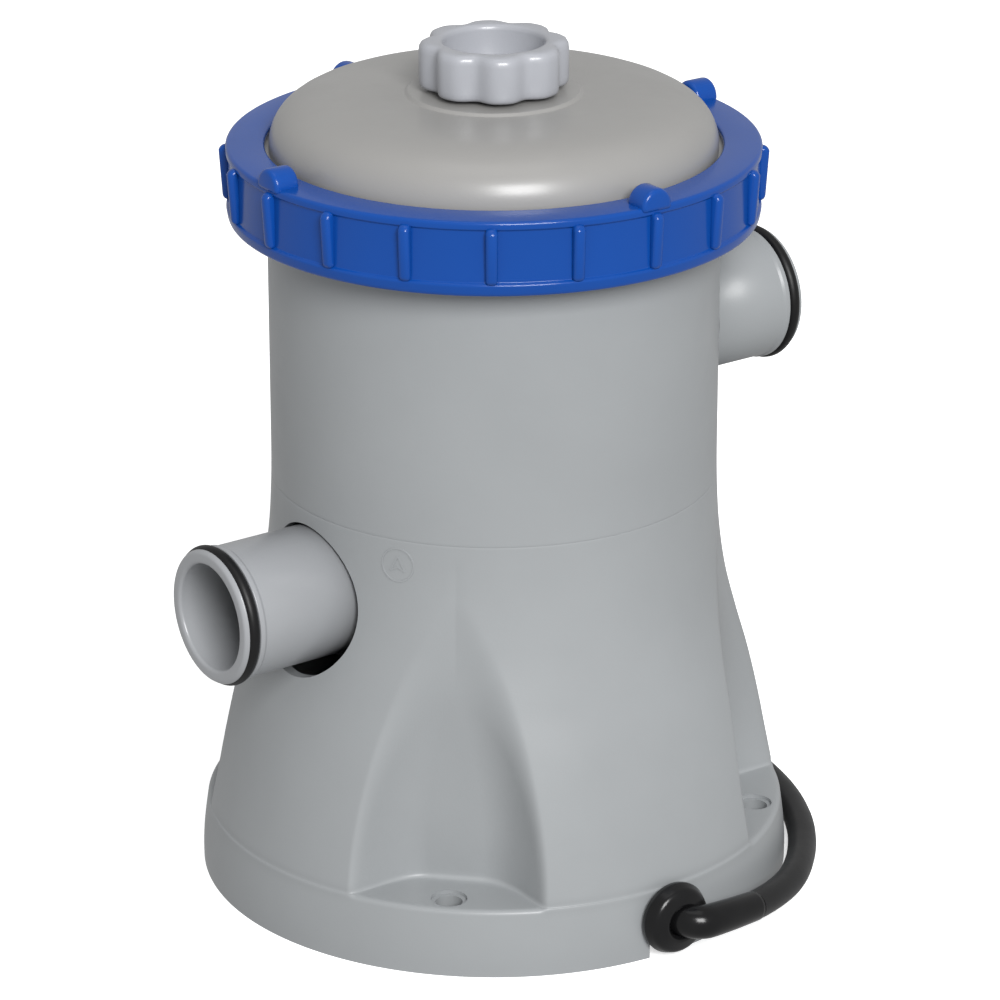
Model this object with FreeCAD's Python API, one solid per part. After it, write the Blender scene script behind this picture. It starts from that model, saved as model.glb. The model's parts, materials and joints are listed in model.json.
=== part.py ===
import FreeCAD, Part
import math
import os

# Cartridge filter pump for above-ground pools.
# Frame: +Z up, origin on the floor below the centre of the base.
# Outlet port towards -X, inlet port towards +X, mains lead leaves towards -Y.
# All sizes are in millimetres.

Vec = FreeCAD.Vector
UP = Vec(0, 0, 1)

# ---- driving dimensions -------------------------------------------------
base_r = 73.5            # foot of the bell skirt
body_r = 54.7            # cylindrical chamber wall, outside
wall = 2.6
bell_mid_r = 64.2        # skirt radius where its curve turns over
bell_mid_z = 52.0
body_z = 104.0           # the skirt has become the cylinder here
floor_z = 103.5          # top of the chamber floor
floor_thick = 2.5
rim_z = 182.0            # top of the chamber neck
seam_z = 103.5           # the chamber stands on the skirt here
seam_r = 53.2            # and its floor drops into the skirt, up to this radius

pocket_count = 4
shelf_z = 17.0           # floor of each screw pocket
pocket_back = 55.5       # flat back wall of a pocket, from the axis
pocket_half = 12.5       # half width of that back wall
pocket_shoulder_z = 42.0
pocket_tip_z = 87.0
pocket_flare = 20.5      # the pocket widens by this much over the same depth
shelf_hole_pcd = 132.0
shelf_hole_r = 3.3

port_r = 16.25           # tube for a 32 mm hose
port_bore = 13.1
port_end = 83.6
port_lip = 16.66
seal_x = 81.0            # centre of the O-ring on each port
seal_section = 1.6
seal_r = 15.64
outlet_z = 83.1
inlet_z = 132.6
outlet_hole_r = 18.6
outlet_hole_z = 81.4

thread_pitch = 6.0
thread_depth = 2.4
thread_root = 2.6        # axial width of the ridge at its root
thread_crest = 1.4

ring_r = 64.1
ring_foot_r = 63.3
ring_foot_z = 169.0
ring_top_z = 187.2
ring_plate = 1.8
ring_open = 55.0
ring_bore = 57.9
ring_inner_wall = 60.0
ring_outer_wall = 61.9
rib_gap_deg = 18.0
rib_r = 66.2
rib_half = 1.4
lug_top_z = 191.4
lug_half = 4.2            # the lug is a half-round tab of this radius
lug_inner_r = 58.3
lug_outer_r = 64.8

lid_r = 54.0
lid_flange_r = 57.6
lid_flange_z = 183.2
lid_flange_thick = 2.0
lid_wall = 2.4
lid_top_z = 199.0
lid_boss_r = 20.0

knob_r = 18.0
knob_z = 200.6
knob_top_z = 212.0
knob_recess_r = 12.15
knob_turn_deg = 16.2     # first lobe of the eight
stem_r = 3.0
running_gap = 0.08

casing_r = 38.0
pump_bore = 31.0
pump_floor_z = 69.4
pump_roof_z = 96.4
impeller_r = 24.0
casing_flange_r = 49.0
cup_r = 40.0
cup_foot_z = 10.0
joint_flange_r = 45.5
can_flange_r = 39.4
joint_z = 66.5           # seam between pump casing and motor cup

cartridge_r = 39.0
cartridge_core_r = 17.0
cartridge_low_z = 103.6
cartridge_high_z = 192.6

cord_r = 3.6
cord_exit_z = 9.8
coil_r = 40.0            # middle of the turns of the put-away coil
coil_turn_gap = 7.2
coil_centre = Vec(79.0, 105.0, 0)
plug_x = 6.0             # cable end of the plug, from the coil's centre, before turning
plug_y = 38.6
plug_z = 30.4
plug_turn_deg = -36.8


# ---- helpers ------------------------------------------------------------
def cyl(radius, low, high, x=0.0, y=0.0):
    return Part.makeCylinder(radius, high - low, Vec(x, y, low), UP)


def tube(outer, inner, low, high, x=0.0, y=0.0):
    return cyl(outer, low, high, x, y).cut(cyl(inner, low - 1, high + 1, x, y))


def box(low, high):
    size = Vec(*high) - Vec(*low)
    return Part.makeBox(size.x, size.y, size.z, Vec(*low))


def rod(start, direction, radius, length):
    return Part.makeCylinder(radius, length, start, direction)


def polar(radius, degrees, z=0.0):
    angle = math.radians(degrees)
    return Vec(radius * math.cos(angle), radius * math.sin(angle), z)


def turned(shape, degrees):
    copy = shape.copy()
    copy.rotate(Vec(0, 0, 0), UP, degrees)
    return copy


def fused(shapes):
    first = shapes[0]
    return first.multiFuse(shapes[1:]).removeSplitter()


def spin(points):
    """Turn a closed outline of (radius, z) points about the axis."""
    wire = Part.makePolygon([Vec(r, 0, z) for r, z in points] + [Vec(points[0][0], 0, points[0][1])])
    return Part.Face(wire).revolve(Vec(0, 0, 0), UP, 360)


def spin_edges(edges):
    return Part.Face(Part.Wire(edges)).revolve(Vec(0, 0, 0), UP, 360)


def line(a, b):
    return Part.LineSegment(Vec(a[0], 0, a[1]), Vec(b[0], 0, b[1])).toShape()


def arc(a, b, c):
    return Part.Arc(Vec(a[0], 0, a[1]), Vec(b[0], 0, b[1]), Vec(c[0], 0, c[1])).toShape()


def torus(centre, axis, radius, section):
    return Part.makeTorus(radius, section, centre, axis)


def save(shape, name):
    solids = [s for s in shape.Solids]
    result = solids[0] if len(solids) == 1 else Part.Compound(solids)
    result.exportStep("parts/" + name + ".step")
    print(name, "solids", len(solids), "valid", result.isValid(), "cm3", round(result.Volume / 1000, 2))


def route_wire(points):
    """Straight runs joined by arcs as large as the runs allow."""
    edges = []
    here = points[0]
    radii = []
    for before, corner, after in zip(points, points[1:], points[2:]):
        run_in = (before - corner).Length
        run_out = (after - corner).Length
        reach = 0.45 * min(run_in, run_out)
        into = (corner - before).normalize()
        out = (after - corner).normalize()
        turn = into.getAngle(out)
        radius = reach / math.tan(turn / 2)
        radii.append(round(radius, 1))
        start = corner - into * reach
        end = corner + out * reach
        toward = (out - into).normalize()
        middle = corner + toward * (radius / math.cos(turn / 2) - radius)
        edges.append(Part.LineSegment(here, start).toShape())
        edges.append(Part.Arc(start, middle, end).toShape())
        here = end
    edges.append(Part.LineSegment(here, points[-1]).toShape())
    return Part.Wire(edges), radii


def swept(points, radius, label):
    path, radii = route_wire(points)
    section = Part.Wire(Part.makeCircle(radius, points[0], points[1] - points[0]))
    solid = path.makePipeShell([section], True, True)
    check = solid.Volume / (math.pi * radius ** 2 * path.Length)
    print(label, "length", round(path.Length, 1), "radii", radii, "volume ratio", round(check, 4))
    return solid, path.Length


def ridge(root_r, outward, start_z, turns, start_deg):
    """One helical thread ridge, standing outward (+1) or inward (-1) from root_r."""
    helix = Part.makeHelix(thread_pitch, thread_pitch * turns, root_r)
    buried = root_r - outward * 0.6
    crest = root_r + outward * thread_depth
    outline = [Vec(buried, 0, -thread_root / 2 - 0.15), Vec(crest, 0, -thread_crest / 2),
               Vec(crest, 0, thread_crest / 2), Vec(buried, 0, thread_root / 2 + 0.15)]
    section = Part.makePolygon(outline + outline[:1])
    solid = Part.Wire(helix.Edges).makePipeShell([section], True, True)
    solid.translate(Vec(0, 0, start_z))
    solid.rotate(Vec(0, 0, 0), UP, start_deg)
    return solid


# ---- filter housing -------------------------------------------------------
def bell(offset):
    """Outer wall of the housing, moved inwards by offset, as a solid of revolution."""
    r0 = base_r - offset
    mid = (bell_mid_r - offset, bell_mid_z)
    low = 2.0
    edges = [
        line((0, 0), (r0, 0)),
        line((r0, 0), (r0, low)),
        arc((r0, low), (r0 - 1.4, 16.0), mid),
        arc(mid, (57.5 - offset, 76.0), (body_r - offset, body_z)),
        line((body_r - offset, body_z), (body_r - offset, rim_z)),
        line((body_r - offset, rim_z), (0, rim_z)),
        line((0, rim_z), (0, 0)),
    ]
    return spin_edges(edges)


def arch(x, half, grow):
    """Pointed arch in the plane at x, for one pocket."""
    low = shelf_z - grow
    tip = pocket_tip_z + (half - pocket_half)
    shoulder = pocket_shoulder_z
    bulge_z = shoulder + 0.55 * (tip - shoulder)
    a = Vec(x, -half, low)
    b = Vec(x, -half, shoulder)
    c = Vec(x, -half * 0.66, bulge_z)
    d = Vec(x, 0, tip)
    e = Vec(x, half * 0.66, bulge_z)
    f = Vec(x, half, shoulder)
    g = Vec(x, half, low)
    return Part.Wire([Part.LineSegment(a, b).toShape(), Part.Arc(b, c, d).toShape(),
                      Part.Arc(d, e, f).toShape(), Part.LineSegment(f, g).toShape(),
                      Part.LineSegment(g, a).toShape()])


def pocket(grow):
    """Space of one pocket on the +X side, enlarged by grow on every wall."""
    back = arch(pocket_back - grow, pocket_half + grow, grow)
    front = arch(pocket_back - grow + pocket_flare, pocket_half + grow + pocket_flare, grow)
    return Part.makeLoft([back, front], True, True)


def port(z, side):
    """Hose tube with its lip and seal groove, along +X or -X."""
    outline = [(0, port_bore), (0, port_r), (27.0, port_r), (27.5, port_lip), (28.6, port_lip),
               (28.6, seal_r - seal_section), (32.0, seal_r - seal_section), (32.0, port_lip - 0.5),
               (32.3, port_lip - 0.2), (33.0, port_lip - 0.4), (33.6, port_lip - 1.0), (33.6, port_bore)]
    start = port_end - 33.6
    points = [Vec(start + along, 0, across) for along, across in outline]
    face = Part.Face(Part.makePolygon(points + points[:1]))
    solid = face.revolve(Vec(0, 0, 0), Vec(1, 0, 0), 360)
    solid.translate(Vec(0, 0, z))
    return solid if side > 0 else turned(solid, 180)


def make_housing():
    """The two mouldings of the housing: chamber with its floor, and the skirt it stands on."""
    outside = bell(0)
    inside_low = bell(wall).common(cyl(base_r, -1, floor_z - floor_thick))
    chamber = cyl(body_r - wall - 0.2, floor_z, rim_z + 1)
    angles = [45 + 360 / pocket_count * k for k in range(pocket_count)]
    for angle in angles:
        outside = outside.cut(turned(pocket(0), angle))
        inside_low = inside_low.cut(turned(pocket(wall), angle))
    solid = outside.cut(inside_low).cut(chamber)
    post_r = shelf_hole_pcd / 2
    posts = [cyl(5.6, 0, shelf_z, *polar(post_r, a)[:2]).common(bell(0)) for a in angles]
    base_posts = []
    for k in range(4):
        spot = polar(60.0, 22.5 + 90 * k)
        base_posts.append(cyl(4.2, 5.0, 46.0, spot.x, spot.y).common(bell(1.0)))
    screw_domes = []
    for angle in angles:
        spot = polar(44.0, angle)
        screw_domes.append(cyl(4.6, floor_z - floor_thick, 112.0, spot.x, spot.y))
    solid = fused([solid] + posts + base_posts + screw_domes)
    for angle in angles:
        spot = polar(post_r, angle)
        solid = solid.cut(cyl(shelf_hole_r, -1, shelf_z + 1, spot.x, spot.y))
        solid = solid.cut(Part.makeCone(shelf_hole_r, shelf_hole_r + 1.2, 1.2,
                                        Vec(spot.x, spot.y, shelf_z - 1.2), UP))
        spot = polar(44.0, angle)
        solid = solid.cut(cyl(1.9, 90.0, 110.2, spot.x, spot.y))
    for k in range(4):
        spot = polar(60.0, 22.5 + 90 * k)
        solid = solid.cut(cyl(1.6, 0, 18.0, spot.x, spot.y))
    inlet = port(inlet_z, 1).cut(cyl(body_r - wall - 0.2, 0, 200))
    solid = solid.fuse(inlet).cut(rod(Vec(20, 0, inlet_z), Vec(1, 0, 0), port_bore, 60))
    solid = solid.cut(rod(Vec(-40, 0, outlet_hole_z), Vec(-1, 0, 0), outlet_hole_r, 40))
    solid = solid.cut(cyl(12.0, 100.0, 105.0))
    slot = rod(Vec(0, -60, cord_exit_z), Vec(0, -1, 0), 6.1, 20)
    slot = slot.fuse(box((-6.1, -80, -1), (6.1, -60, cord_exit_z)))
    solid = solid.cut(slot)
    above = cyl(120.0, seam_z, 200.0).fuse(cyl(seam_r, floor_z - floor_thick, seam_z))
    upper = solid.common(above).fuse(ridge(body_r, 1, 171.0, 1.5, 0))
    lower = solid.cut(above).multiFuse(make_flow_mark())
    return upper, lower


def make_flow_mark():
    """Small raised ring with a plain arrow in it, a generic flow mark."""
    centre = Vec(54.3, 0, 97.5)
    mark = rod(centre, Vec(1, 0, 0), 4.35, 1.5).cut(rod(centre, Vec(1, 0, 0), 3.85, 2))
    tri = Part.makePolygon([Vec(54.3, -2.3, 96.0), Vec(54.3, 2.3, 96.0), Vec(54.3, 0, 99.9), Vec(54.3, -2.3, 96.0)])
    arrow = Part.Face(tri).extrude(Vec(1.5, 0, 0))
    return [turned(mark, 209.7), turned(arrow, 209.7)]


# ---- closure: lock ring, lid, knob ----------------------------------------
def make_lock_ring():
    edges = [
        line((ring_bore, ring_foot_z + 0.3), (ring_inner_wall, ring_foot_z + 0.3)),
        line((ring_inner_wall, ring_foot_z + 0.3), (ring_inner_wall, 183.0)),
        line((ring_inner_wall, 183.0), (ring_outer_wall, 183.0)),
        line((ring_outer_wall, 183.0), (ring_outer_wall - 0.4, ring_foot_z + 1.0)),
        arc((ring_outer_wall - 0.4, ring_foot_z + 1.0), (62.4, ring_foot_z), (ring_foot_r, ring_foot_z + 1.2)),
        line((ring_foot_r, ring_foot_z + 1.2), (ring_r, ring_top_z - 1.5)),
        arc((ring_r, ring_top_z - 1.5), (ring_r - 0.44, ring_top_z - 0.44), (ring_r - 1.5, ring_top_z)),
        line((ring_r - 1.5, ring_top_z), (ring_open + 0.6, ring_top_z)),
        line((ring_open + 0.6, ring_top_z), (ring_open, ring_top_z - 0.6)),
        line((ring_open, ring_top_z - 0.6), (ring_open, ring_top_z - ring_plate)),
        line((ring_open, ring_top_z - ring_plate), (ring_bore, ring_top_z - ring_plate)),
        line((ring_bore, ring_top_z - ring_plate), (ring_bore, ring_foot_z + 0.3)),
    ]
    pieces = [spin_edges(edges)]
    for k in range(20):
        rib = box((62.5, -rib_half, 172.0), (rib_r, rib_half, 185.7))
        pieces.append(turned(rib, rib_gap_deg * k))
    for k in range(4):
        lug = rod(Vec(lug_inner_r, 0, lug_top_z - lug_half), Vec(1, 0, 0), lug_half, lug_outer_r - lug_inner_r)
        lug = lug.cut(box((50, -10, 170), (70, 10, ring_top_z - 1.0)))
        pieces.append(turned(lug, 90 * k))
    pieces.append(ridge(ring_bore, -1, 170.9, 1.1, 174.0))
    return fused(pieces)


def lid_dome(inset):
    """Outer (inset 0) or inner surface of the lid's crown, as a solid from the flange up."""
    r = lid_r - inset
    top = lid_top_z - inset
    low = lid_flange_z
    edges = [
        line((0, low), (r, low)),
        line((r, low), (r, 187.0)),
        arc((r, 187.0), (r - 2.4, 194.4 - inset * 0.6), (r - 9.0, top - 1.0)),
        arc((r - 9.0, top - 1.0), (r - 20.0, top - 0.2), (0, top)),
        line((0, top), (0, low)),
    ]
    return spin_edges(edges)


def make_lid():
    boss = spin([(0, 198.0), (lid_boss_r + 1.0, 198.0), (lid_boss_r, 199.5), (0, 199.5)])
    shell = lid_dome(0).fuse(boss).cut(lid_dome(lid_wall))
    flange = tube(lid_flange_r, lid_r - lid_wall, lid_flange_z, lid_flange_z + lid_flange_thick)
    hub = cyl(7.0, 190.0, 199.5)
    webs = []
    for k in range(6):
        web = box((6.0, -1.0, 193.2), (44.0, 1.0, 197.5))
        webs.append(turned(web, 60 * k).common(lid_dome(1.0)))
    solid = fused([shell, flange, hub] + webs)
    return solid.cut(cyl(stem_r + running_gap, 180, 205))


def make_air_knob():
    body = cyl(knob_r - 4.0, knob_z, knob_top_z)
    lobes = []
    for k in range(8):
        spot = polar(knob_r - 5.2, 45.0 * k + knob_turn_deg)
        lobes.append(cyl(5.2, knob_z, knob_top_z, spot.x, spot.y))
    solid = fused([body] + lobes)
    top = [e for e in solid.Edges if abs(e.BoundBox.ZMin - knob_top_z) < 1e-6
           and abs(e.BoundBox.ZMax - knob_top_z) < 1e-6]
    solid = solid.makeFillet(1.0, top)
    solid = solid.cut(cyl(knob_recess_r, knob_z + 2.4, knob_top_z + 1))
    stem = cyl(stem_r, 188.4, knob_z + 3.0)
    return solid.fuse(stem).removeSplitter()


def make_valve_washer():
    return tube(8.0, stem_r + 0.3, 199.5, knob_z)


# ---- pump -------------------------------------------------------------------
def make_pump_casing():
    solid = cyl(casing_r, joint_z, 98.0)
    solid = solid.fuse(cyl(casing_flange_r, 98.0, 101.0))
    solid = solid.fuse(cyl(joint_flange_r, joint_z, 73.0))
    outlet = rod(Vec(-20, 0, outlet_z), Vec(-1, 0, 0), port_r, 30)
    solid = fused([solid, outlet, port(outlet_z, -1)])
    nub = box((-60.5, -1.2, outlet_z - port_r - 1.2), (-56.0, 1.2, outlet_z - 10))
    solid = solid.fuse(nub)
    solid = solid.cut(cyl(pump_bore, pump_floor_z, pump_roof_z))
    solid = solid.cut(cyl(can_flange_r + 0.2, joint_z - 1, pump_floor_z))
    solid = solid.cut(rod(Vec(-20, 0, outlet_z), Vec(-1, 0, 0), port_bore, 70))
    solid = solid.cut(cyl(12.0, 90, 102))
    solid = solid.cut(tube(23.0, 20.2, 99.5, 102))
    for k in range(4):
        spot = polar(44.0, 45 + 90 * k)
        solid = solid.cut(cyl(1.9, 90, 102, spot.x, spot.y))
        solid = solid.cut(cyl(4.6, joint_z - 1, 74, spot.x, spot.y))
        spot = polar(42.0, 22.5 + 90 * k)
        solid = solid.cut(cyl(1.9, joint_z - 1, 72.0, spot.x, spot.y))
    return solid


def make_casing_gasket():
    return tube(23.0, 20.2, 99.5, 101.0)


def make_suction_guide():
    pieces = [tube(12.0, 10.0, 96.5, 101.0), cyl(4.5, 96.5, 101.0)]
    for k in range(3):
        spoke = box((3.5, -1.1, 97.5), (10.8, 1.1, 101.0))
        pieces.append(turned(spoke, 120 * k + 30))
    return fused(pieces).cut(cyl(2.5, 96.0, 99.5))


def make_impeller():
    disc = cyl(impeller_r + 1.0, 71.0, 73.4)
    hub = cyl(6.0, 66.0, 95.0)
    blades = []
    for k in range(6):
        outer = Part.makeCylinder(19.0, 18.0, Vec(12.5, 13.5, 73.0), UP)
        inner = Part.makeCylinder(17.2, 18.0, Vec(12.5, 13.5, 73.0), UP)
        blade = outer.cut(inner).common(tube(impeller_r, 5.5, 73.0, 91.0))
        blade = blade.common(box((0, -impeller_r, 73), (impeller_r, impeller_r, 91)))
        blades.append(turned(blade, 60 * k))
    solid = fused([disc, hub] + blades)
    return solid.cut(cyl(2.5 + running_gap, 60, 100))


def make_rotor_sleeve():
    return tube(5.0, 2.5 + running_gap, 31.0, 66.0)


def make_rotor_magnet():
    return tube(11.4, 5.0, 32.0, 65.5)


def make_pump_shaft():
    return cyl(2.5, 27.0, 99.5)


def make_shaft_seat():
    return tube(6.0, 2.5, 27.0, 30.2).fuse(cyl(6.0, 26.0, 27.0)).removeSplitter()


def make_rotor_can():
    solid = cyl(14.0, 24.0, 67.0).fuse(cyl(can_flange_r, joint_z, pump_floor_z))
    solid = solid.cut(cyl(12.6, 26.0, 71.0))
    solid = solid.cut(tube(34.8, 33.2, 68.0, 71.0))
    return solid.removeSplitter()


def make_can_seal():
    return tube(34.8, 33.2, 68.0, pump_floor_z)


# ---- motor ------------------------------------------------------------------
def make_motor_cup():
    solid = cyl(cup_r, cup_foot_z, joint_z).fuse(cyl(joint_flange_r, 63.0, joint_z))
    solid = solid.cut(cyl(37.4, cup_foot_z + 2.5, joint_z + 1))
    solid = solid.cut(rod(Vec(0, -30, 22.0), Vec(0, -1, 0), cord_r, 15))
    for k in range(4):
        spot = polar(42.0, 22.5 + 90 * k)
        solid = solid.cut(cyl(1.9, 60, 70, spot.x, spot.y))
        solid = solid.cut(cyl(4.0, 59.5, 63.0, spot.x, spot.y))
        spot = polar(44.0, 45 + 90 * k)
        solid = solid.cut(cyl(4.6, 60, 70, spot.x, spot.y))
    return solid.removeSplitter()


def make_stator_core():
    yoke = tube(37.3, 32.5, 36.0, 58.0)
    pole = box((-34.0, -8.0, 36.0), (34.0, 8.0, 58.0))
    shoes = tube(17.2, 13.0, 36.0, 58.0).common(box((-18, -12.5, 36), (18, 12.5, 58)))
    solid = fused([yoke, pole, shoes])
    return solid.cut(cyl(14.1, 30, 60))


def make_stator_coils():
    coils = []
    for side in (0, 180):
        coil = box((18.5, -13.0, 30.5), (29.0, 13.0, 62.5))
        coil = coil.cut(box((18.0, -8.0, 36.0), (30.0, 8.0, 58.0)))
        coils.append(turned(coil, side))
    return Part.Compound(coils)


def screws(radius, first_deg, head_z, tip_z, head_r=3.4):
    group = []
    for k in range(4):
        spot = polar(radius, first_deg + 90 * k)
        screw = cyl(1.9 if head_z > 5 else 1.6, head_z, tip_z, spot.x, spot.y)
        head = cyl(head_r, head_z - 2.4, head_z, spot.x, spot.y)
        cross = box((spot.x - 2.0, spot.y - 0.4, head_z - 2.5), (spot.x + 2.0, spot.y + 0.4, head_z - 1.2))
        cross = cross.fuse(box((spot.x - 0.4, spot.y - 2.0, head_z - 2.5), (spot.x + 0.4, spot.y + 2.0, head_z - 1.2)))
        group.append(screw.fuse(head).cut(cross).removeSplitter())
    return Part.Compound(group)


def make_base_plate():
    solid = cyl(69.6, 2.6, 5.0)
    for k in range(4):
        spot = polar(shelf_hole_pcd / 2, 45 + 90 * k)
        solid = solid.cut(cyl(6.2, 0, 10, spot.x, spot.y))
        spot = polar(60.0, 22.5 + 90 * k)
        solid = solid.cut(cyl(1.6, 0, 10, spot.x, spot.y))
    slots = []
    for k in range(-4, 5):
        reach = 26 - 2 * abs(k)
        slots.append(box((k * 7 - 1.5, -reach, 2), (k * 7 + 1.5, reach, 6)))
    for slot in slots:
        solid = solid.cut(slot)
    return solid.cut(box((-9.5, -75, 0), (9.5, -57, 10)))


# ---- mains lead ---------------------------------------------------------------
def make_cord_grommet():
    outline = [(0, 58.0), (8.0, 58.0), (8.4, 60.0), (8.4, 68.5), (5.9, 68.5), (5.9, 73.8), (8.6, 73.9),
               (9.0, 74.8), (8.4, 76.6), (6.6, 78.0), (4.0, 78.6), (0, 78.6)]
    points = [Vec(0, -along, across) for across, along in outline]
    face = Part.Face(Part.makePolygon(points + points[:1]))
    solid = face.revolve(Vec(0, 0, 0), Vec(0, 1, 0), 360)
    solid.translate(Vec(0, 0, cord_exit_z))
    return solid.cut(rod(Vec(0, -50, cord_exit_z), Vec(0, -1, 0), cord_r, 19.0))


BOOT_POINTS = [Vec(0, -68.0, 9.8), Vec(0.3, -80.8, 9.7), Vec(13.0, -80.2, 8.9), Vec(22.0, -77.9, 7.7)]


def make_cord_boot():
    """Short curved strain relief that turns the lead along the foot of the skirt."""
    solid, length = swept(BOOT_POINTS, 4.5, "cord_boot")
    return solid


def cord_route():
    """The free lead from the strain relief round the foot, then to the coil."""
    return [Vec(22.0, -77.9, 7.7), Vec(37.0, -72.0, 5.4), Vec(55.2, -56.4, 3.9), Vec(69.0, -37.8, 3.6),
            Vec(77.6, -16.0, 3.6), Vec(81.0, 8.0, 3.6), Vec(88.0, 29.5, 3.6), Vec(103.0, 50.0, 3.6),
            Vec(116.0, 68.0, 3.6), Vec(124.4, 88.0, 3.6), Vec(126.0, 104.0, 3.6)]


def make_cord():
    solid, length = swept(cord_route(), cord_r, "cord")
    return solid


def coil_frame(grow):
    inner = coil_r - coil_turn_gap - cord_r - grow
    outer = coil_r + coil_turn_gap + cord_r + grow
    high = 3 * coil_turn_gap + grow
    return tube(outer, inner, 0, high, coil_centre.x, coil_centre.y)


TIE_DEG = 210.0


def make_cord_tie():
    band = coil_frame(1.0).cut(coil_frame(0).common(cyl(200, 1.0, 50)))
    spot = coil_centre + polar(coil_r, TIE_DEG)
    cutter = Part.makeBox(40, 3.6, 40, Vec(-20, -1.8, -1))
    cutter.rotate(Vec(0, 0, 0), UP, TIE_DEG)
    cutter.translate(Vec(spot.x, spot.y, 0))
    return band.common(cutter)


def make_cord_coil():
    return coil_frame(0).cut(make_cord_tie())


def tail_route():
    """End of the lead, off the top of the coil and up to the plug."""
    points = [Vec(38.0, -10.0, 25.3), Vec(40.6, 5.0, 25.9), Vec(37.0, 21.0, 27.6),
              Vec(27.0, 32.6, 29.6), Vec(14.0, 37.6, 30.4), Vec(plug_x, plug_y, plug_z)]
    turn = FreeCAD.Rotation(UP, plug_turn_deg)
    return [coil_centre + turn.multVec(point) for point in points]


def make_cord_tail():
    solid, length = swept(tail_route(), cord_r, "cord_tail")
    return solid


def on_coil(shape):
    """Turn a piece of the plug and set it down on the coil."""
    placed = turned(shape, plug_turn_deg)
    placed.translate(coil_centre)
    return placed


def make_plug_body():
    """Moulded two-pin plug lying on the coil."""
    nose = box((plug_x - 44.0, plug_y - 17.5, plug_z - 8.5), (plug_x - 30.0, plug_y + 17.5, plug_z + 8.5))
    grip = Part.makeLoft([
        Part.makePolygon([Vec(plug_x - 30.0, plug_y + a, plug_z + b) for a, b in
                          ((-17.5, -8.5), (17.5, -8.5), (17.5, 8.5), (-17.5, 8.5), (-17.5, -8.5))]),
        Part.makePolygon([Vec(plug_x - 10.0, plug_y + a, plug_z + b) for a, b in
                          ((-7.0, -6.0), (7.0, -6.0), (7.0, 6.0), (-7.0, 6.0), (-7.0, -6.0))])], True, True)
    collar = rod(Vec(plug_x, plug_y, plug_z), Vec(-1, 0, 0), 5.2, 11)
    solid = fused([nose, grip, collar])
    for side in (-9.5, 9.5):
        solid = solid.cut(rod(Vec(plug_x - 34, plug_y + side, plug_z), Vec(-1, 0, 0), 2.4, 12))
    return on_coil(solid)


def make_plug_pins():
    pins = []
    for side in (-9.5, 9.5):
        pins.append(rod(Vec(plug_x - 34, plug_y + side, plug_z), Vec(-1, 0, 0), 2.4, 29))
    return on_coil(Part.Compound(pins))


def make_inner_lead():
    points = [Vec(0, -38.0, 22.0), Vec(0, -46.0, 22.0), Vec(0, -53.0, 9.8), Vec(0, -68.0, 9.8)]
    path, radii = route_wire(points)
    section = Part.Wire(Part.makeCircle(cord_r, points[0], points[1] - points[0]))
    return path.makePipeShell([section], True, True)


# ---- cartridge ------------------------------------------------------------------
def make_cartridge_media():
    count = 48
    points = []
    for k in range(count):
        points.append(polar(cartridge_r - 1.4, 360 * k / count))
        points.append(polar(22.0, 360 * (k + 0.5) / count))
    outer = Part.Face(Part.makePolygon(points + points[:1]))
    low = cartridge_low_z + 3.0
    outer.translate(Vec(0, 0, low))
    solid = outer.extrude(Vec(0, 0, cartridge_high_z - 3.0 - low))
    return solid.cut(cyl(cartridge_core_r + 1.6, 100, 200))


def cartridge_cap(low):
    return tube(cartridge_r, cartridge_core_r, low, low + 3.0)


def make_cartridge_core():
    solid = tube(cartridge_core_r + 1.6, cartridge_core_r, cartridge_low_z + 3.0, cartridge_high_z - 3.0)
    for level in range(6):
        for k in range(4):
            start = Vec(0, 0, cartridge_low_z + 12.0 + 13.0 * level)
            solid = solid.cut(rod(start, polar(1, 90 * k + 45 * (level % 2)), 4.0, 30))
    return solid


def port_seal(z, side):
    return torus(Vec(side * seal_x, 0, z), Vec(1, 0, 0), seal_r, seal_section)


def main():
    os.makedirs("parts", exist_ok=True)
    filter_housing, base_skirt = make_housing()
    parts = {
        "filter_housing": filter_housing,
        "base_skirt": base_skirt,
        "lock_ring": make_lock_ring(),
        "lid": make_lid(),
        "lid_gasket": tube(57.0, 53.2, rim_z, lid_flange_z),
        "air_knob": make_air_knob(),
        "valve_washer": make_valve_washer(),
        "pump_casing": make_pump_casing(),
        "casing_gasket": make_casing_gasket(),
        "casing_screws": screws(44.0, 45.0, 98.0, 110.0),
        "outlet_seal": port_seal(outlet_z, -1),
        "inlet_seal": port_seal(inlet_z, 1),
        "suction_guide": make_suction_guide(),
        "impeller": make_impeller(),
        "rotor_sleeve": make_rotor_sleeve(),
        "rotor_magnet": make_rotor_magnet(),
        "pump_shaft": make_pump_shaft(),
        "shaft_seat": make_shaft_seat(),
        "rotor_can": make_rotor_can(),
        "can_seal": make_can_seal(),
        "motor_cup": make_motor_cup(),
        "motor_screws": screws(42.0, 22.5, 63.0, 72.0),
        "stator_core": make_stator_core(),
        "stator_coils": make_stator_coils(),
        "base_plate": make_base_plate(),
        "base_screws": screws(60.0, 22.5, 2.6, 16.0, 3.2),
        "cord_grommet": make_cord_grommet(),
        "cord_boot": make_cord_boot(),
        "cord": make_cord(),
        "cord_coil": make_cord_coil(),
        "cord_tail": make_cord_tail(),
        "cord_tie": make_cord_tie(),
        "plug_body": make_plug_body(),
        "plug_pins": make_plug_pins(),
        "inner_lead": make_inner_lead(),
        "cartridge_media": make_cartridge_media(),
        "cartridge_cap_low": cartridge_cap(cartridge_low_z),
        "cartridge_cap_high": cartridge_cap(cartridge_high_z - 3.0),
        "cartridge_core": make_cartridge_core(),
    }
    parts["cord_grommet"] = parts["cord_grommet"].cut(parts["cord_boot"])
    for name, shape in parts.items():
        save(shape, name)


main()
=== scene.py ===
import json
import math

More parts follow.
